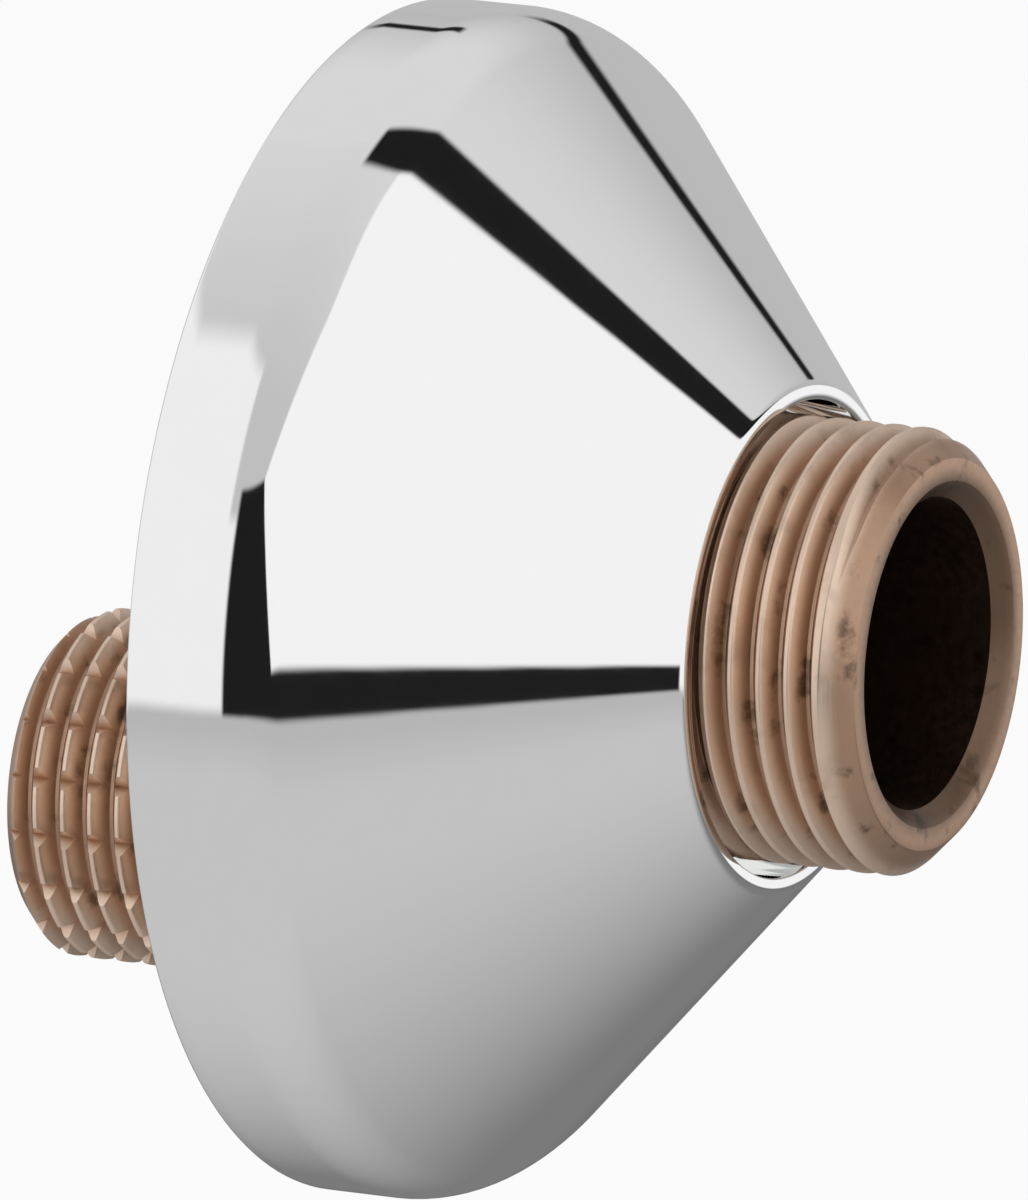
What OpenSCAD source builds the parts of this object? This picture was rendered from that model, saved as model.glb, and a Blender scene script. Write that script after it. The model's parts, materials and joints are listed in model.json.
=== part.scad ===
// S-union: an eccentric threaded brass connector with a chromed bell escutcheon.
// The mixer thread's axis runs along -Y through the origin, and the origin lies
// in the plane of the finished wall. X is to the right and Z is up.

/* [Mixer side] */
// Major diameter of the parallel pipe thread that the mixer's nut goes on
mixer_d = 26.441; // [24:0.001:30]
// How far this thread's free end stands in front of the wall
mixer_end = 35.5; // [34:0.1:42]
// Length of this thread, measured back from its free end
mixer_len = 24.5; // [20:0.5:27]
// Chamfer on the free end, which thins the last turns of the thread
mixer_chamfer = 1.6; // [0.5:0.1:2.2]
// Diameter of the waterway on this side
outlet_d = 18.5; // [14:0.1:20]
// Depth of the countersink in the waterway's mouth
countersink = 1; // [0.4:0.1:1.4]

/* [Wall side] */
// Major diameter of the pipe thread that screws into the wall
wall_d = 20.955; // [19:0.001:24]
// How far this thread's free end stands behind the wall
wall_end = 21; // [18:0.1:28]
// Length of this thread, measured forward from its free end
wall_len = 15; // [10:0.5:16]
// Chamfer on the free end
wall_chamfer = 1.2; // [0.4:0.1:1.8]
// Diameter of the waterway on this side
inlet_d = 14; // [10:0.1:15]
// Depth of the countersink in the waterway's mouth
inlet_countersink = 0.6; // [0.2:0.1:1]
// Number of V-shaped notches round the crests, which hold the sealing hemp
notch_count = 18; // [12:1:24]
// Width of a notch at the crest
notch_w = 1.2; // [0.6:0.1:1.6]
// Depth of a notch, down from the crest
notch_depth = 0.75; // [0.4:0.05:1.1]
// How far the notches run along the thread from its free end
notch_len = 10; // [4:0.5:15]
// Angle of the first notch from the X axis
notch_angle = 8.5; // [0:0.5:30]

/* [Offset] */
// Distance from the wall thread's axis up to the mixer thread's axis
eccentricity = 13.4; // [8:0.1:15]
// How much smaller the neck's ends are than the thread roots, all round
neck_relief = 0.25; // [0.1:0.05:0.6]

/* [Thread form] */
// Pitch, for fourteen turns to the inch
pitch = 1.814; // [1.3:0.001:2.4]
// Angle between the two flanks of a ridge
flank_angle = 55; // [50:1:60]
// Depth of the thread, from crest to root
thread_depth = 1.162; // [0.8:0.001:1.3]

/* [Escutcheon] */
// Diameter of the rim that meets the wall
rim_d = 71; // [66:0.5:80]
// Height of the straight band next to the rim
band = 4.7; // [3:0.1:8]
// Radius of the shoulder between the band and the cone
shoulder_r = 5.8; // [3:0.1:8]
// Angle between the cone's surface and the axis
cone_angle = 47; // [45:0.5:52]
// Radial width of the lip, from the collar's bore out to the end of the cone
lip_w = 1.18; // [1.05:0.01:2]
// Radius of the lip's rounding
lip_r = 0.9; // [0.4:0.1:1.1]
// Wall thickness of the shell
shell = 1.2; // [0.8:0.1:2]
// Length of the collar that rides on the mixer thread, from the lip's face back
collar_len = 9.2; // [6:0.1:11]
// Wall thickness of the collar
collar_wall = 1.8; // [1.4:0.1:3]
// Radial clearance between the collar's bore and the thread's crests
collar_gap = 0.95; // [0.3:0.01:1.2]

/* [Hidden] */
$fn = 96;

mixer_r = mixer_d / 2;
wall_r = wall_d / 2;
mixer_root = mixer_r - thread_depth;
wall_root = wall_r - thread_depth;

// Where the two threads stop and the neck between them begins
neck_front = mixer_end - mixer_len;
neck_back = wall_len - wall_end;
// Thickness of the discs that the neck is stretched between
disc = 0.05;
// Facets round the neck and the slanting passage
neck_facets = 48;

// Width of one flank along the axis, and of the flat on a crest or in a root
flank = thread_depth * tan(flank_angle / 2);
flat = pitch / 2 - flank;

rim_r = rim_d / 2;
collar_bore = mixer_r + collar_gap;
lip_start = collar_bore + lip_w;
// Centre of the shoulder's rounding, as radius and height over the wall
shoulder_mid = [rim_r - shoulder_r, band];
// Unit vector square to the cone's surface
cone_normal = [cos(cone_angle), sin(cone_angle)];
// Height at which the cone ends and the lip begins
cone_top = shoulder_mid[1] + shoulder_r * cone_normal[1]
    + (shoulder_mid[0] + shoulder_r * cone_normal[0] - lip_start) / tan(cone_angle);
lip_mid = [lip_start, cone_top] - lip_r * cone_normal;
face = lip_mid[1] + lip_r;
collar_back = face - collar_len;

// Stands what is drawn along Z on the mixer axis, with +Z out of the wall
module on_mixer_axis() {
    rotate([90, 0, 0]) children();
}

// The same for the wall thread's axis, which lies lower
module on_wall_axis() {
    translate([0, 0, -eccentricity]) on_mixer_axis() children();
}

// Half section of a threaded shank whose free end is at len, as a list of points
// It runs on below 0, where threaded_shank cuts it off
function ridge_points(crest, root, len) =
    let (turns = floor((len - flank - flat / 2) / pitch))
    concat(
        [[0, len]],
        [for (i = [0 : turns - 1], p = [
            [crest, len - i * pitch],
            [crest, len - i * pitch - flat / 2],
            [root, len - i * pitch - flat / 2 - flank],
            [root, len - i * pitch - flat * 1.5 - flank],
            [crest, len - i * pitch - flat * 1.5 - flank * 2]
        ]) p],
        [
            [crest, len - turns * pitch - flat / 2],
            [root, len - turns * pitch - flat / 2 - flank],
            [root, -pitch],
            [0, -pitch]
        ]
    );

// A threaded shank that stands on Z = 0, with its free end chamfered
module threaded_shank(crest, len, chamfer) {
    rotate_extrude() intersection() {
        polygon(ridge_points(crest, crest - thread_depth, len));
        polygon([
            [0, 0],
            [crest + 1, 0],
            [crest + 1, len - chamfer - 1],
            [crest - chamfer, len],
            [0, len]
        ]);
    }
}

// Long V-shaped cutters that notch the wall thread's crests, in the shank's own frame
module notches() {
    slope = notch_w / 2 / notch_depth;
    for (i = [0 : notch_count - 1])
        rotate([0, 0, notch_angle + i * 360 / notch_count])
            translate([wall_r, 0, wall_len - notch_len])
                linear_extrude(notch_len + 1) polygon([
                    [-notch_depth, 0],
                    [1, -(1 + notch_depth) * slope],
                    [1, (1 + notch_depth) * slope]
                ]);
}

// A slanting round body between the two axes, a disc's thickness into each shank
module slant(back_r, back_z, front_r, front_z) {
    hull() {
        on_wall_axis() translate([0, 0, back_z - disc])
            cylinder(r = back_r, h = disc, $fn = neck_facets);
        on_mixer_axis() translate([0, 0, front_z])
            cylinder(r = front_r, h = disc, $fn = neck_facets);
    }
}

// The brass body: two threaded shanks, the neck that joins them and the waterway
module union_body() {
    color([0.76, 0.57, 0.42]) difference() {
        union() {
            on_mixer_axis() translate([0, 0, neck_front])
                threaded_shank(mixer_r, mixer_len, mixer_chamfer);
            on_wall_axis() mirror([0, 0, 1]) translate([0, 0, -neck_back]) difference() {
                threaded_shank(wall_r, wall_len, wall_chamfer);
                notches();
            }
            slant(wall_root - neck_relief, neck_back, mixer_root - neck_relief, neck_front);
        }
        waterway();
    }
}

// A bore down from Z = 0, with a countersunk mouth there
module countersunk_bore(r, depth, sink) {
    translate([0, 0, -depth]) cylinder(r = r, h = depth + 1);
    translate([0, 0, -sink]) cylinder(r1 = r, r2 = r + sink * 2, h = sink * 2);
}

// The waterway: a bore in from each free end and a slanting passage between
module waterway() {
    on_mixer_axis() translate([0, 0, mixer_end])
        countersunk_bore(outlet_d / 2, mixer_len, countersink);
    on_wall_axis() mirror([0, 0, 1]) translate([0, 0, wall_end])
        countersunk_bore(inlet_d / 2, wall_len, inlet_countersink);
    slant(inlet_d / 2 - neck_relief, neck_back, outlet_d / 2 - neck_relief, neck_front);
}

// A sector of a circle round p, on the outer side, as a rounding needs it
module rounding(p, r) {
    translate(p) intersection() {
        circle(r);
        polygon([[0, 0], [r * 2, 0], [r * 2, r * 2], [0, r * 2]]);
    }
}

// Half section of all that lies under the bell's outer surface, set in by inset
module bell_section(inset, bottom) {
    r = shoulder_r - inset;
    polygon([
        [0, bottom],
        [rim_r - inset, bottom],
        [rim_r - inset, band],
        shoulder_mid + r * cone_normal,
        [lip_start, cone_top] - inset * cone_normal,
        [0, cone_top - inset * cone_normal[1]]
    ]);
    rounding(shoulder_mid, r);
}

// The lip: the cone's rounded end with a narrow flat face
module lip_section() {
    translate([0, band]) square([lip_mid[0], face - band]);
    rounding(lip_mid, lip_r);
}

// The chromed escutcheon: a thin bell with a collar inside its small end
module escutcheon() {
    color([0.8, 0.81, 0.82]) on_mixer_axis() rotate_extrude() difference() {
        union() {
            bell_section(0, 0);
            lip_section();
        }
        difference() {
            bell_section(shell, -1);
            translate([0, collar_back]) square([collar_bore + collar_wall, collar_len]);
        }
        translate([0, -1]) square([collar_bore, face + 2]);
    }
}

union_body();
escutcheon();
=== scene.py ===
import bpy
import json
from math import acos, asin, atan2, ceil, cos, degrees, pi, radians, sin, tan
from mathutils import Matrix, Vector


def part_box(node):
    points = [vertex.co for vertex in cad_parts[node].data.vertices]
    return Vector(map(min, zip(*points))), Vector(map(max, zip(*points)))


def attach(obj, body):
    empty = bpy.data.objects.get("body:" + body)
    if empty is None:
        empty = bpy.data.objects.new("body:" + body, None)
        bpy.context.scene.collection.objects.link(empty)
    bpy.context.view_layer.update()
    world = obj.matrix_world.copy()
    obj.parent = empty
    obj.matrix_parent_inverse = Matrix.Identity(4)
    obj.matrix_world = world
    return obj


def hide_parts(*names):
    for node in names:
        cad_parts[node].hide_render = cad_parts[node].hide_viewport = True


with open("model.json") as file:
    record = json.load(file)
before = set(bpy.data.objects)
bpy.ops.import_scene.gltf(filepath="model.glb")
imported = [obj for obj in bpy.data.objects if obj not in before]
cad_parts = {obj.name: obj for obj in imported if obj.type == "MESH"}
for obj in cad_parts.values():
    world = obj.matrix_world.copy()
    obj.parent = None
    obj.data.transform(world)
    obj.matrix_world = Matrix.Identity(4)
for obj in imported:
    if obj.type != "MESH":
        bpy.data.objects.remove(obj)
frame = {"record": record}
scene = bpy.context.scene
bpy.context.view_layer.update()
print("frame loaded")

mm = 0.001                 # sizes below are in millimetres, Blender's are in metres
mounts = {m["name"]: m for m in frame["record"]["mounts"]}
mixerR = mounts["mixer_thread"]["dims"]["r_mm"]
wallR = mounts["wall_thread"]["dims"]["r_mm"]
outletR = mounts["outlet_bore"]["dims"]["r_mm"]
inletR = mounts["inlet_bore"]["dims"]["r_mm"]
wallAxis = mounts["wall_thread"]["pos_m"][2] / mm      # height of the wall thread's axis
bodyLow, bodyHigh = (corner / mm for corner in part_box("union_body"))
bellLow, bellHigh = (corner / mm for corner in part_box("escutcheon"))
mixerEnd = -bodyLow.y      # distances out of the wall are measured along -Y
wallEnd = -bodyHigh.y
bellFace = -bellLow.y
rimR = bellHigh.x


# camera and studio

camera = {
    "turn": -64.03,        # degrees round the object, from square in front of it to the left
    "height": 10.65,       # degrees up
    "roll": 1.24,          # degrees
    "distance": 1500,      # from the aim point on the mixer axis
    "aim": -15,            # where that point is along Y
    "shift": (6.555, -1.167),   # how far the aim point lies right of and above the picture's middle
    "lens": 762.6,         # for a film 36 mm high
}


def addCamera(c):
    turn, height, roll = radians(c["turn"]), radians(c["height"]), radians(c["roll"])
    back = Vector((sin(turn) * cos(height), -cos(turn) * cos(height), sin(height)))
    level = Vector((cos(turn), sin(turn), 0))
    upright = back.cross(level)
    right = level * cos(roll) + upright * sin(roll)
    up = upright * cos(roll) - level * sin(roll)
    place = Vector((0, c["aim"], 0)) + back * c["distance"] - right * c["shift"][0] - up * c["shift"][1]
    data = bpy.data.cameras.new("camera")
    data.lens = c["lens"]
    data.sensor_width = 36
    data.clip_end = 20
    eye = bpy.data.objects.new("camera", data)
    scene.collection.objects.link(eye)
    eye.matrix_world = Matrix.Translation(place * mm) @ Matrix((right, up, back)).transposed().to_4x4()
    scene.camera = eye


addCamera(camera)
scene.view_settings.view_transform = "Standard"
print("camera placed")


# node helpers

def newNode(tree, kind, **settings):
    node = tree.nodes.new("ShaderNode" + kind)
    for key, value in settings.items():
        setattr(node, key, value)
    return node


def feed(tree, socket, value):
    if isinstance(value, bpy.types.NodeSocket):
        tree.links.new(value, socket)
    else:
        socket.default_value = value


def calc(tree, operation, a, b=None, c=None):
    node = newNode(tree, "Math", operation=operation)
    for socket, value in zip(node.inputs, (a, b, c)):
        if value is not None:
            feed(tree, socket, value)
    return node.outputs[0]


def between(tree, value, low, high):
    # 0 at low, 1 at high, with a soft start and end
    node = newNode(tree, "MapRange", interpolation_type="SMOOTHSTEP")
    for socket, number in zip(node.inputs[:3], (value, low, high)):
        feed(tree, socket, number)
    return node.outputs[0]


def blendColor(tree, share, a, b, how="MIX"):
    node = newNode(tree, "Mix", data_type="RGBA", blend_type=how)
    feed(tree, node.inputs[0], share)
    for socket, value in zip(node.inputs[6:8], (a, b)):
        feed(tree, socket, (*value, 1) if isinstance(value, tuple) and len(value) == 3 else value)
    return node.outputs[2]


def grain(tree, place, size, detail=4.0, rough=0.55, stretch=(1, 1, 1)):
    # size is that of the pattern's patches, in mm
    squeeze = newNode(tree, "Mapping")
    squeeze.inputs["Scale"].default_value = [s / (size * mm) for s in stretch]
    feed(tree, squeeze.inputs["Vector"], place)
    node = newNode(tree, "TexNoise")
    feed(tree, node.inputs["Vector"], squeeze.outputs[0])
    node.inputs["Scale"].default_value = 1
    node.inputs["Detail"].default_value = detail
    node.inputs["Roughness"].default_value = rough
    return node.outputs["Fac"]


def grey(level):
    return (level, level, level)


# the studio, as a polished surface sees it: white and grey panels with dark gaps

studio = {
    "front": 0.93,         # the white panel in front, and the one on the left
    "left": 0.88,
    "ceiling": (0.54, 0.70),    # from far left to right
    "right": (0.48, 0.70),      # from low to high
    "backWall": 0.50,
    "floor": (0.56, 0.20),      # from left to right
    "gap": 0.012,
    "plain": 0.9,          # what lights dull surfaces, the same from all sides
}


def makeStudio(look):
    world = bpy.data.worlds.new("studio")
    scene.world = world
    world.use_nodes = True
    tree = world.node_tree
    tree.nodes.clear()
    way = newNode(tree, "TexCoord").outputs["Generated"]
    parts = newNode(tree, "SeparateXYZ")
    feed(tree, parts.inputs[0], way)
    x, y, z = parts.outputs
    turn = calc(tree, "MULTIPLY", calc(tree, "ARCTAN2", x, calc(tree, "MULTIPLY", y, -1.0)), 180 / pi)
    height = calc(tree, "MULTIPLY", calc(tree, "ARCSINE", z), 180 / pi)

    def both(*shares):
        total = shares[0]
        for share in shares[1:]:
            total = calc(tree, "MULTIPLY", total, share)
        return total

    def ramp(value, lowAt, highAt, lowLevel, highLevel):
        return calc(tree, "ADD", lowLevel, calc(tree, "MULTIPLY", between(tree, value, lowAt, highAt), highLevel - lowLevel))

    def lay(level, share, other):
        # level where share is 0, other where it is 1
        return calc(tree, "ADD", calc(tree, "MULTIPLY", level, calc(tree, "SUBTRACT", 1.0, share)),
                    calc(tree, "MULTIPLY", other, share))

    # where a direction meets a flat ceiling or floor: across it, and towards the front
    over = calc(tree, "MAXIMUM", calc(tree, "ABSOLUTE", z), 0.02)
    across = calc(tree, "DIVIDE", x, over)
    front = calc(tree, "DIVIDE", calc(tree, "MULTIPLY", y, -1.0), over)

    # the ceiling, then the white panel that hangs in front of it and the one on the left
    level = ramp(across, -1.2, 0.6, *look["ceiling"])
    panelEdge = calc(tree, "SUBTRACT", 0.95, calc(tree, "MULTIPLY", between(tree, across, -0.35, 0.25), 0.24))
    frontPanel = calc(tree, "MAXIMUM", between(tree, calc(tree, "SUBTRACT", front, panelEdge), -0.03, 0.05),
                      between(tree, height, 3, 1))
    level = lay(level, both(frontPanel, between(tree, turn, -62, -60)), look["front"])
    level = lay(level, both(between(tree, turn, -84, -87), between(tree, height, 24, 20)), look["left"])
    level = lay(level, both(between(tree, turn, -94, -99), between(tree, height, 53, 47)), look["left"])
    level = lay(level, both(between(tree, turn, -62, -60), between(tree, height, 1, -1)), look["front"])

    # the gap in the ceiling bends to the right as it comes forward
    middle = calc(tree, "ADD", 0.2, calc(tree, "ADD", calc(tree, "MULTIPLY", front, 0.12),
                  calc(tree, "MULTIPLY", calc(tree, "MULTIPLY", front, front), 0.45)))
    half = calc(tree, "ADD", 0.078, calc(tree, "MULTIPLY", front, 0.09))
    aside = calc(tree, "SUBTRACT", across, middle)
    inGap = between(tree, calc(tree, "SUBTRACT", calc(tree, "ABSOLUTE", aside), half), 0.03, -0.02)
    inGap = both(inGap, between(tree, front, 0.04, 0.12), between(tree, height, 8, 14))

    # right of the gap stand grey panels, and a back wall beyond a thin dark line
    rightSide = both(between(tree, aside, 0.0, 0.03), between(tree, x, 0.0, 0.05), between(tree, z, 0.0, 0.05))
    level = lay(level, rightSide, ramp(height, 14, 46, *look["right"]))
    level = lay(level, both(between(tree, turn, 72, 84), between(tree, height, 17.5, 15.5)), look["backWall"])
    thin = both(between(tree, calc(tree, "ABSOLUTE", calc(tree, "SUBTRACT", height, 18.5)), 2.4, 0.8),
                between(tree, turn, 78, 83), between(tree, turn, 108, 98))
    slope = calc(tree, "SUBTRACT", calc(tree, "MULTIPLY", calc(tree, "SUBTRACT", 119.0, turn), 0.875), calc(tree, "SUBTRACT", height, 25.0))
    short = both(between(tree, calc(tree, "ABSOLUTE", slope), 2.2, 0.8), between(tree, turn, 108, 112), between(tree, turn, 123, 119))
    level = lay(level, calc(tree, "MAXIMUM", thin, short), look["gap"])
    level = lay(level, inGap, look["gap"])

    # the floor, darker to the right and just under the horizon
    floorLevel = ramp(across, -0.4, 1.45, *look["floor"])
    floorLevel = calc(tree, "MULTIPLY", floorLevel, ramp(height, -14, -26, 0.86, 1.0))
    level = lay(level, between(tree, height, -11.5, -14.5), floorLevel)

    # the dark stand in front, which tapers off to the right
    edge = calc(tree, "SUBTRACT", 27.5, calc(tree, "MULTIPLY", calc(tree, "MAXIMUM", calc(tree, "ADD", turn, 60.0), 0.0), 1.17))
    top = calc(tree, "MAXIMUM", edge, -6.75)
    stand = both(between(tree, calc(tree, "SUBTRACT", top, height), -0.8, 0.8), between(tree, height, -14.5, -13.0),
                 between(tree, turn, -89, -84), between(tree, turn, -18.0, -21.0))
    level = lay(level, stand, look["gap"])

    rays = newNode(tree, "LightPath").outputs
    shiny = newNode(tree, "Background")
    tone = newNode(tree, "CombineColor")
    for socket in tone.inputs:
        feed(tree, socket, level)
    feed(tree, shiny.inputs["Color"], tone.outputs[0])
    dull = newNode(tree, "Background")
    dull.inputs["Color"].default_value = (*grey(look["plain"]), 1)
    seen = newNode(tree, "Background")
    seen.inputs["Color"].default_value = (1, 1, 1, 1)
    reflected = newNode(tree, "MixShader")
    feed(tree, reflected.inputs[0], rays["Is Glossy Ray"])
    tree.links.new(dull.outputs[0], reflected.inputs[1])
    tree.links.new(shiny.outputs[0], reflected.inputs[2])
    final = newNode(tree, "MixShader")
    feed(tree, final.inputs[0], rays["Is Camera Ray"])
    tree.links.new(reflected.outputs[0], final.inputs[1])
    tree.links.new(seen.outputs[0], final.inputs[2])
    out = newNode(tree, "OutputWorld")
    tree.links.new(final.outputs[0], out.inputs[0])


makeStudio(studio)
print("studio lit")


# shaping helpers

def deselect():
    if bpy.context.object and bpy.context.object.mode == "EDIT":
        bpy.ops.object.mode_set(mode="OBJECT")
    bpy.ops.object.select_all(action="DESELECT")


def pickOnly(piece):
    deselect()
    piece.select_set(True)
    bpy.context.view_layer.objects.active = piece


def softened(corners):
    # each corner is (radius, distance out of the wall, height of the centre, rounding)
    rings = []
    for k, (r, s, z, soft) in enumerate(corners):
        if not soft:
            rings.append((r, s, z))
            continue
        here = Vector((r, s))
        before = Vector(corners[k - 1][:2]) - here
        after = Vector(corners[(k + 1) % len(corners)][:2]) - here
        half = before.angle(after) / 2
        run = min(soft / tan(half), before.length * 0.45, after.length * 0.45)
        radius = run * tan(half)
        centre = here + (before.normalized() + after.normalized()).normalized() * radius / sin(half)
        start = here + before.normalized() * run - centre
        end = here + after.normalized() * run - centre
        sweep = start.angle(end)
        steps = max(2, ceil(degrees(sweep) / 22))
        for i in range(steps + 1):
            t = i / steps
            arm = (start * sin((1 - t) * sweep) + end * sin(t * sweep)) / sin(sweep)
            rings.append((centre.x + arm.x, centre.y + arm.y, z))
    return rings


def turned(name, rings, segments):
    # a closed wall of rings, extruded one from the next, where the last one meets the first
    deselect()
    r, s, z = rings[0]
    bpy.ops.mesh.primitive_circle_add(vertices=segments, radius=r * mm, location=(0, -s * mm, z * mm),
                                      rotation=(pi / 2, 0, 0))
    piece = bpy.context.object
    piece.name = name
    piece.data.name = name
    bpy.ops.object.transform_apply(location=True, rotation=True, scale=True)
    bpy.ops.object.mode_set(mode="EDIT")
    bpy.ops.mesh.select_mode(type="EDGE")
    bpy.ops.mesh.select_all(action="SELECT")
    for (r0, s0, z0), (r1, s1, z1) in zip(rings, rings[1:] + rings[:1]):
        bpy.ops.mesh.extrude_edges_move(TRANSFORM_OT_translate={"value": (0, (s0 - s1) * mm, (z1 - z0) * mm)})
        if abs(r1 - r0) > 1e-9:
            bpy.ops.transform.resize(value=(r1 / r0, 1, r1 / r0), center_override=(0, -s1 * mm, z1 * mm))
    bpy.ops.mesh.select_all(action="SELECT")
    bpy.ops.mesh.remove_doubles(threshold=5e-6)
    bpy.ops.mesh.normals_make_consistent(inside=False)
    bpy.ops.object.mode_set(mode="OBJECT")
    return piece


def smooth(piece, angle):
    pickOnly(piece)
    bpy.ops.object.shade_smooth_by_angle(angle=radians(angle))


# the brass body

body = {
    "segments": 144,
    "neckFront": 11, "neckBack": -6,           # where the neck meets the two shanks
    "neckRelief": 0.25,                        # the neck is this much under the thread roots
    "mixerChamfer": 1.6, "wallChamfer": 1.2,
    "countersink": 1, "inletCountersink": 0.6,
    "edge": 0.18,                              # rounding of the turned edges
}
thread = {
    "pitch": 1.814, "depth": 1.162, "flankAngle": 55,
    "crestRound": 0.09,                        # how far the crest's corners are rounded down
    "over": 0.2,                               # how far a cutter stands over the crests
}
mixerThread = {
    "crest": 33.55, "atAngle": 168,            # one crest's place, at this angle from the X axis
    "freeAt": 188, "freeFade": 80,             # degrees of turn: the groove fades out over the chamfer
    "innerAt": -11.55 * 360, "innerFade": 200,
}
wallThread = {
    "crest": -16.8, "atAngle": 168,
    "freeAt": -3.2 * 360, "freeFade": 0,
    "innerAt": 4.9 * 360, "innerFade": 200,
}
notches = {"count": 18, "width": 1.2, "depth": 0.75, "length": 10, "angle": 8.5}


def bodyCorners(b, t):
    e = b["edge"]
    neckR = mixerR - t["depth"] - b["neckRelief"]
    tailR = wallR - t["depth"] - b["neckRelief"]
    front, back = b["neckFront"], b["neckBack"]
    sink, tailSink = b["countersink"], b["inletCountersink"]
    return [
        (outletR + sink, mixerEnd, 0, e * 0.6),
        (mixerR - b["mixerChamfer"], mixerEnd, 0, e),
        (mixerR, mixerEnd - b["mixerChamfer"], 0, e),
        (mixerR, front, 0, e),
        (neckR, front, 0, 0),
        (tailR, back, wallAxis, 0),
        (wallR, back, wallAxis, e),
        (wallR, wallEnd + b["wallChamfer"], wallAxis, e),
        (wallR - b["wallChamfer"], wallEnd, wallAxis, e),
        (inletR + tailSink, wallEnd, wallAxis, e * 0.5),
        (inletR, wallEnd + tailSink, wallAxis, 0),
        (inletR, back, wallAxis, 0),
        (inletR - b["neckRelief"], back, wallAxis, 0),
        (outletR - b["neckRelief"], front, 0, 0),
        (outletR, front, 0, 0),
        (outletR, mixerEnd - sink, 0, 0),
    ]


def grooveSection(crestR, t):
    # half the groove's section, from its middle out: (distance along the axis, radius)
    slope = tan(radians(t["flankAngle"] / 2))
    root = crestR - t["depth"]
    flat = t["pitch"] / 4 - t["depth"] * slope / 2
    soft = t["crestRound"]
    corner = flat + t["depth"] * slope
    rise = soft * 1.6
    return [
        (0, root),
        (flat * 0.75, root),
        (flat * 1.1 + 0.03 * slope, root + 0.05),
        (flat + slope * (t["depth"] - rise), crestR - rise),
        (corner - soft * slope * 0.5, crestR - soft * 0.75),
        (corner + soft * 0.25, crestR - soft * 0.2),
        (corner + soft * 0.9, crestR + 0.02),
        (corner + soft * 1.05, crestR + t["over"]),
    ]


def grooveCutter(name, crestR, axisZ, place, t, segments):
    half = grooveSection(crestR, t)
    section = half + [(-a, r) for a, r in reversed(half[1:])]
    pitch = t["pitch"]
    first, last = place["innerAt"], place["freeAt"]
    sweep = radians(last - first)
    steps = abs(round((last - first) / 360 * segments))
    start = place["crest"] + pitch / 2 + pitch * (first - place["atAngle"]) / 360
    deselect()
    bpy.ops.mesh.primitive_circle_add(vertices=len(section), radius=mm)
    cutter = bpy.context.object
    cutter.name = name
    for corner, (along, r) in zip(cutter.data.vertices, section):
        corner.co = (r * mm, -(start + along) * mm, 0)
    screw = cutter.modifiers.new("screw", "SCREW")
    screw.axis = "Y"
    screw.angle = -sweep
    screw.screw_offset = -sweep / (2 * pi) * pitch * mm
    screw.steps = steps
    screw.render_steps = steps
    screw.use_merge_vertices = False
    bpy.ops.object.modifier_apply(modifier="screw")

    # towards its ends the groove rises out of the metal
    rise = (t["depth"] + t["over"]) * 1.05 * mm
    for k, corner in enumerate(cutter.data.vertices):
        gone = (k // len(section)) / steps * abs(last - first)
        lift = 0
        if place["innerFade"]:
            lift = max(lift, 1 - gone / place["innerFade"])
        if place["freeFade"]:
            lift = max(lift, 1 - (abs(last - first) - gone) / place["freeFade"])
        if lift > 0:
            out = Vector((corner.co.x, 0, corner.co.z)).normalized()
            corner.co += out * rise * lift
    bpy.ops.object.mode_set(mode="EDIT")
    bpy.ops.mesh.select_all(action="SELECT")
    bpy.ops.mesh.fill_holes(sides=0)
    bpy.ops.mesh.select_all(action="SELECT")
    bpy.ops.mesh.normals_make_consistent(inside=False)
    bpy.ops.object.mode_set(mode="OBJECT")
    cutter.rotation_euler.y = -radians(first)
    cutter.location.z = axisZ * mm
    bpy.ops.object.transform_apply(location=True, rotation=True, scale=False)
    return cutter


def carve(piece, cutter):
    pickOnly(piece)
    cut = piece.modifiers.new("cut", "BOOLEAN")
    cut.operation = "DIFFERENCE"
    cut.solver = "EXACT"
    cut.object = cutter
    bpy.ops.object.modifier_apply(modifier="cut")
    bpy.data.objects.remove(cutter)


def notchCutter(n, t):
    # a three-sided bar whose edge points at the axis, then its copies round the thread
    slope = n["width"] / 2 / n["depth"]
    high = n["depth"] + 0.6
    deselect()
    bars = []
    bpy.ops.mesh.primitive_cylinder_add(vertices=3, radius=mm, depth=mm, end_fill_type="NGON", rotation=(pi / 2, 0, 0))
    bar = bpy.context.object
    bpy.ops.object.transform_apply(location=True, rotation=True, scale=True)
    tip = min(bar.data.vertices, key=lambda v: v.co.z).co.z
    for v in bar.data.vertices:
        s = wallEnd - 0.7 if v.co.y > 0 else wallEnd + n["length"]
        isTip = abs(v.co.x) < 1e-6
        v.co = (((wallR - n["depth"]) if isTip else wallR + 0.6) * mm, -s * mm,
                0 if isTip else (1 if v.co.x > 0 else -1) * high * slope * mm)
    for k in range(n["count"]):
        copy = bar.copy()
        copy.data = bar.data.copy()
        scene.collection.objects.link(copy)
        turn = radians(n["angle"] + 360 * k / n["count"])
        copy.data.transform(Matrix.Translation((0, 0, wallAxis * mm)) @ Matrix.Rotation(-turn, 4, "Y"))
        bars.append(copy)
    bpy.data.objects.remove(bar)
    deselect()
    for copy in bars:
        copy.select_set(True)
    bpy.context.view_layer.objects.active = bars[0]
    bpy.ops.object.join()
    whole = bpy.context.object
    bpy.ops.object.mode_set(mode="EDIT")
    bpy.ops.mesh.select_all(action="SELECT")
    bpy.ops.mesh.normals_make_consistent(inside=False)
    bpy.ops.object.mode_set(mode="OBJECT")
    return whole


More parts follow.
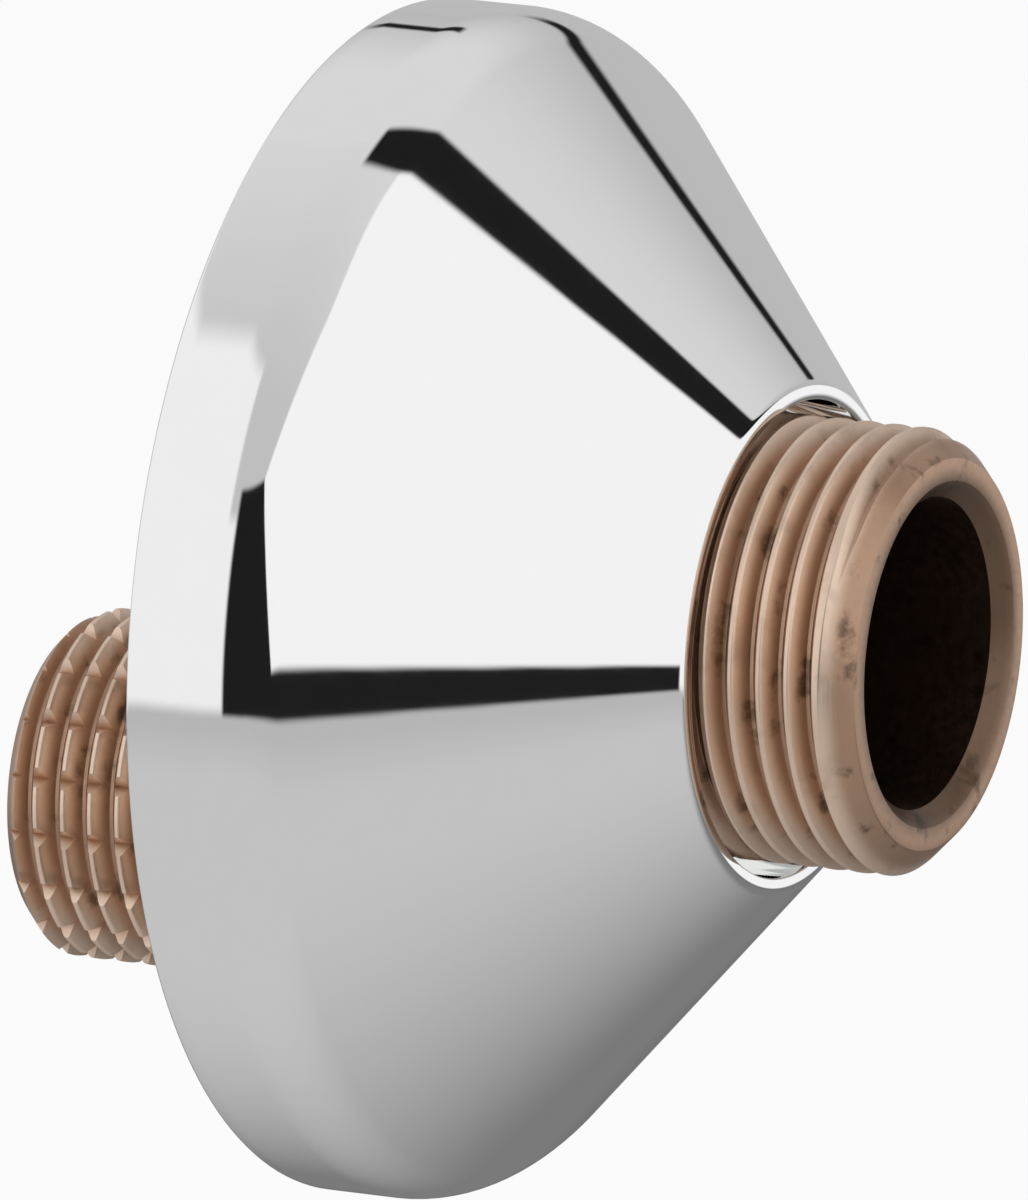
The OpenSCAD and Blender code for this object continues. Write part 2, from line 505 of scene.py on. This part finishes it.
brassBody = turned("eccentric_body", softened(bodyCorners(body, thread)), body["segments"])
for label, crestR, axisZ, place in (("mixer_groove", mixerR, 0, mixerThread), ("wall_groove", wallR, wallAxis, wallThread)):
    carve(brassBody, grooveCutter(label, crestR, axisZ, place, thread, body["segments"]))
    print(label, "cut:", len(brassBody.data.polygons), "faces")
carve(brassBody, notchCutter(notches, thread))
smooth(brassBody, 32)
print("brass body done:", len(brassBody.data.polygons), "faces")


# the chromed escutcheon

bell = {
    "segments": 192,
    "band": 4.7, "shoulder": 5.8, "coneAngle": 47,     # the angle is between the cone and the axis
    "boreGap": 0.95, "lipWidth": 1.18, "lipRound": 0.9,
    "shell": 1.2, "collarLength": 9.2, "collarWall": 1.8,
    "rimEdge": 0.25,                                   # rounding of the rim's outer edge
}


def arc(centre, radius, fromAngle, toAngle, steps):
    # points on an arc, with angles from the radial direction towards the room
    points = []
    for k in range(steps + 1):
        angle = radians(fromAngle + (toAngle - fromAngle) * k / steps)
        points.append((centre[0] + radius * cos(angle), centre[1] + radius * sin(angle), 0))
    return points


def bellRings(b):
    bore = mixerR + b["boreGap"]
    cone = radians(b["coneAngle"])
    square = (cos(cone), sin(cone))          # points straight out of the cone's surface
    shoulderMid = (rimR - b["shoulder"], b["band"])
    lipMid = (bore + b["lipWidth"] - b["lipRound"] * square[0], bellFace - b["lipRound"])
    coneTop = (lipMid[0] + b["lipRound"] * square[0], lipMid[1] + b["lipRound"] * square[1])
    coneFoot = (shoulderMid[0] + b["shoulder"] * square[0], shoulderMid[1] + b["shoulder"] * square[1])
    run = (coneTop[0] - coneFoot[0], coneTop[1] - coneFoot[1])
    inner = b["shoulder"] - b["shell"]
    innerFoot = (shoulderMid[0] + inner * square[0], shoulderMid[1] + inner * square[1])
    collarOut = bore + b["collarWall"]
    innerTopS = innerFoot[1] + (innerFoot[0] - collarOut) / tan(cone)
    edge = b["rimEdge"]
    rings = arc((rimR - edge, edge), edge, -90, 0, 4)
    rings += [(rimR, 1.2, 0), (rimR, b["band"] - 1.2, 0), (rimR, b["band"] - 0.15, 0)]
    rings += arc(shoulderMid, b["shoulder"], 0, b["coneAngle"], 24)
    rings += [(coneFoot[0] + run[0] * t, coneFoot[1] + run[1] * t, 0) for t in (0.006, 0.25, 0.5, 0.75, 0.994)]
    rings += arc(lipMid, b["lipRound"], b["coneAngle"], 90, 10)
    rings += [(lipMid[0] - 0.04, bellFace, 0)]
    rings += arc((bore + 0.12, bellFace - 0.12), 0.12, 90, 180, 4)
    rings += [(bore, bellFace - 0.3, 0), (bore, bellFace - b["collarLength"] + 0.4, 0)]
    rings += arc((bore + 0.1, bellFace - b["collarLength"] + 0.1), 0.1, 180, 270, 3)
    rings += arc((collarOut - 0.1, bellFace - b["collarLength"] + 0.1), 0.1, -90, 0, 3)
    rings += [(collarOut, innerTopS - 0.3, 0), (collarOut + 0.02, innerTopS - 0.015, 0)]
    rings += [(collarOut + 0.25, innerTopS - 0.25 / tan(cone), 0)]
    rings += arc(shoulderMid, inner, b["coneAngle"], 0, 12)
    rings += [(rimR - b["shell"], edge, 0), (rimR - b["shell"] + edge * 0.6, 0, 0)]
    return rings


chromeBell = turned("bell_escutcheon", bellRings(bell), bell["segments"])
smooth(chromeBell, 38)
print("escutcheon done:", len(chromeBell.data.polygons), "faces")


# finishes

def newMaterial(name):
    material = bpy.data.materials.new(name)
    material.use_nodes = True
    tree = material.node_tree
    tree.nodes.clear()
    out = newNode(tree, "OutputMaterial")
    shader = newNode(tree, "BsdfPrincipled")
    tree.links.new(shader.outputs[0], out.inputs[0])
    return material, tree, shader, newNode(tree, "TexCoord").outputs["Object"]


def bump(tree, shader, height, distance, strength=1.0):
    node = newNode(tree, "Bump")
    node.inputs["Strength"].default_value = strength
    node.inputs["Distance"].default_value = distance * mm
    feed(tree, node.inputs["Height"], height)
    tree.links.new(node.outputs[0], shader.inputs["Normal"])


brassFinish = {
    # the groove colour is darker than the crest colour: painted shade in the thread grooves
    "crest": (0.86, 0.66, 0.52), "groove": (0.50, 0.32, 0.22), "dull": (0.42, 0.28, 0.19),
    # the near-black colour serves both dirt in the grooves and painted shade in the bores
    "stain": (0.07, 0.045, 0.03), "roughness": 0.36,
}
chromeFinish = {"color": (0.955, 0.96, 0.955), "roughness": 0.035, "wave": 0.004}


def makeBrass(f):
    material, tree, shader, place = newMaterial("turned_brass")
    shader.inputs["Metallic"].default_value = 1
    parts = newNode(tree, "SeparateXYZ")
    feed(tree, parts.inputs[0], place)
    x, y, z = parts.outputs

    def axisDistance(height):
        rise = calc(tree, "SUBTRACT", z, height * mm)
        squares = calc(tree, "ADD", calc(tree, "MULTIPLY", x, x), calc(tree, "MULTIPLY", rise, rise))
        return calc(tree, "DIVIDE", calc(tree, "SQRT", squares), mm)

    s = calc(tree, "DIVIDE", y, -mm)
    onMixer = between(tree, s, body["neckFront"] - 0.2, body["neckFront"] + 0.2)
    onWall = between(tree, s, body["neckBack"] + 0.2, body["neckBack"] - 0.2)
    mixerDistance, wallDistance = axisDistance(0), axisDistance(wallAxis)
    depthMixer = calc(tree, "SUBTRACT", mixerR, mixerDistance)
    depthWall = calc(tree, "SUBTRACT", wallR, wallDistance)
    depth = calc(tree, "ADD", calc(tree, "MULTIPLY", onMixer, depthMixer),
                 calc(tree, "MULTIPLY", onWall, depthWall))

    patches = grain(tree, place, 3.5, detail=5)
    fine = grain(tree, place, 0.5, detail=3)
    # tool lines run round the axis, so their noise is squeezed along it
    lines = grain(tree, place, 4, detail=3, stretch=(1, 26, 1))

    # painted shade: deeper into the grooves the colour goes from the crest colour to the darker groove colour
    paintedGrooveShade = between(tree, depth, 0.05, 0.95)
    color = blendColor(tree, paintedGrooveShade, f["crest"], f["groove"])
    neck = calc(tree, "SUBTRACT", 1.0, calc(tree, "MAXIMUM", onMixer, onWall))
    color = blendColor(tree, neck, color, f["dull"])
    tarnish = calc(tree, "MULTIPLY", between(tree, patches, 0.52, 0.72), 0.35)
    color = blendColor(tree, tarnish, color, f["dull"])
    # dirt settles in the grooves here and there
    dirt = calc(tree, "MULTIPLY", between(tree, grain(tree, place, 2.2, detail=6), 0.56, 0.70),
                between(tree, depth, 0.3, 1.0))
    color = blendColor(tree, calc(tree, "MULTIPLY", dirt, 0.7), color, f["stain"])
    # painted shade: far under the crests, in the bores, countersinks and inner end faces, the colour goes almost black
    inside = calc(tree, "MULTIPLY", between(tree, depth, 1.9, 3.4), 0.75)
    color = blendColor(tree, inside, color, f["stain"])
    feed(tree, shader.inputs["Base Color"], color)
    rough = calc(tree, "ADD", f["roughness"], calc(tree, "MULTIPLY", calc(tree, "SUBTRACT", fine, 0.5), 0.25))
    feed(tree, shader.inputs["Roughness"], calc(tree, "ADD", rough, calc(tree, "MULTIPLY", neck, 0.2)))
    relief = calc(tree, "ADD", calc(tree, "MULTIPLY", lines, 0.5),
                  calc(tree, "MULTIPLY", fine, calc(tree, "ADD", 0.4, calc(tree, "MULTIPLY", neck, 1.5))))
    bump(tree, shader, relief, 0.03, 0.6)
    return material


def makeChrome(f):
    material, tree, shader, place = newMaterial("polished_chrome")
    shader.inputs["Metallic"].default_value = 1
    waves = grain(tree, place, 7, detail=1)
    haze = grain(tree, place, 2, detail=4)
    color = blendColor(tree, haze, f["color"], tuple(c * 0.985 for c in f["color"]))
    feed(tree, shader.inputs["Base Color"], color)
    rough = calc(tree, "ADD", f["roughness"], calc(tree, "MULTIPLY", calc(tree, "SUBTRACT", haze, 0.5), 0.03))
    feed(tree, shader.inputs["Roughness"], rough)
    bump(tree, shader, waves, f["wave"], 1.0)
    return material


def dress(piece, material):
    piece.data.materials.clear()
    piece.data.materials.append(material)


dress(brassBody, makeBrass(brassFinish))
dress(chromeBell, makeChrome(chromeFinish))
for piece, carrier, node, slot in ((brassBody, "union", "union_body", "brass"),
                                   (chromeBell, "escutcheon", "escutcheon", "chrome")):
    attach(piece, carrier)
    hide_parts(node)
print("finishes on")


# the floor

floorDrop = 0.25           # metres under the mixer axis


def addFloor(drop):
    deselect()
    bpy.ops.mesh.primitive_plane_add(size=12, location=(0, 0, -drop))
    floor = bpy.context.object
    floor.name = "studio_floor"
    material = bpy.data.materials.new("pale_floor")
    material.use_nodes = True
    tree = material.node_tree
    tree.nodes.clear()
    out = newNode(tree, "OutputMaterial")
    paint = newNode(tree, "BsdfDiffuse")
    paint.inputs["Color"].default_value = (0.9, 0.9, 0.9, 1)
    glow = newNode(tree, "Emission")
    glow.inputs["Color"].default_value = (1, 1, 1, 1)
    rays = newNode(tree, "LightPath").outputs
    clear = newNode(tree, "BsdfTransparent")
    mix = newNode(tree, "MixShader")
    feed(tree, mix.inputs[0], rays["Is Camera Ray"])
    tree.links.new(clear.outputs[0], mix.inputs[1])
    white = newNode(tree, "MixShader")
    white.inputs[0].default_value = 0.72
    tree.links.new(paint.outputs[0], white.inputs[1])
    tree.links.new(glow.outputs[0], white.inputs[2])
    tree.links.new(white.outputs[0], mix.inputs[2])
    tree.links.new(mix.outputs[0], out.inputs[0])
    floor.data.materials.append(material)


addFloor(floorDrop)


lamp = {"at": (-0.9, -0.9, 1.3), "size": 1.2, "power": 9}


def addLamp(l):
    data = bpy.data.lights.new("soft_lamp", "AREA")
    data.shape = "SQUARE"
    data.size = l["size"]
    data.energy = l["power"]
    light = bpy.data.objects.new("soft_lamp", data)
    scene.collection.objects.link(light)
    light.location = l["at"]
    light.rotation_euler = (-Vector(l["at"])).to_track_quat("-Z", "Y").to_euler()
    light.visible_glossy = False


addLamp(lamp)

print("all made")
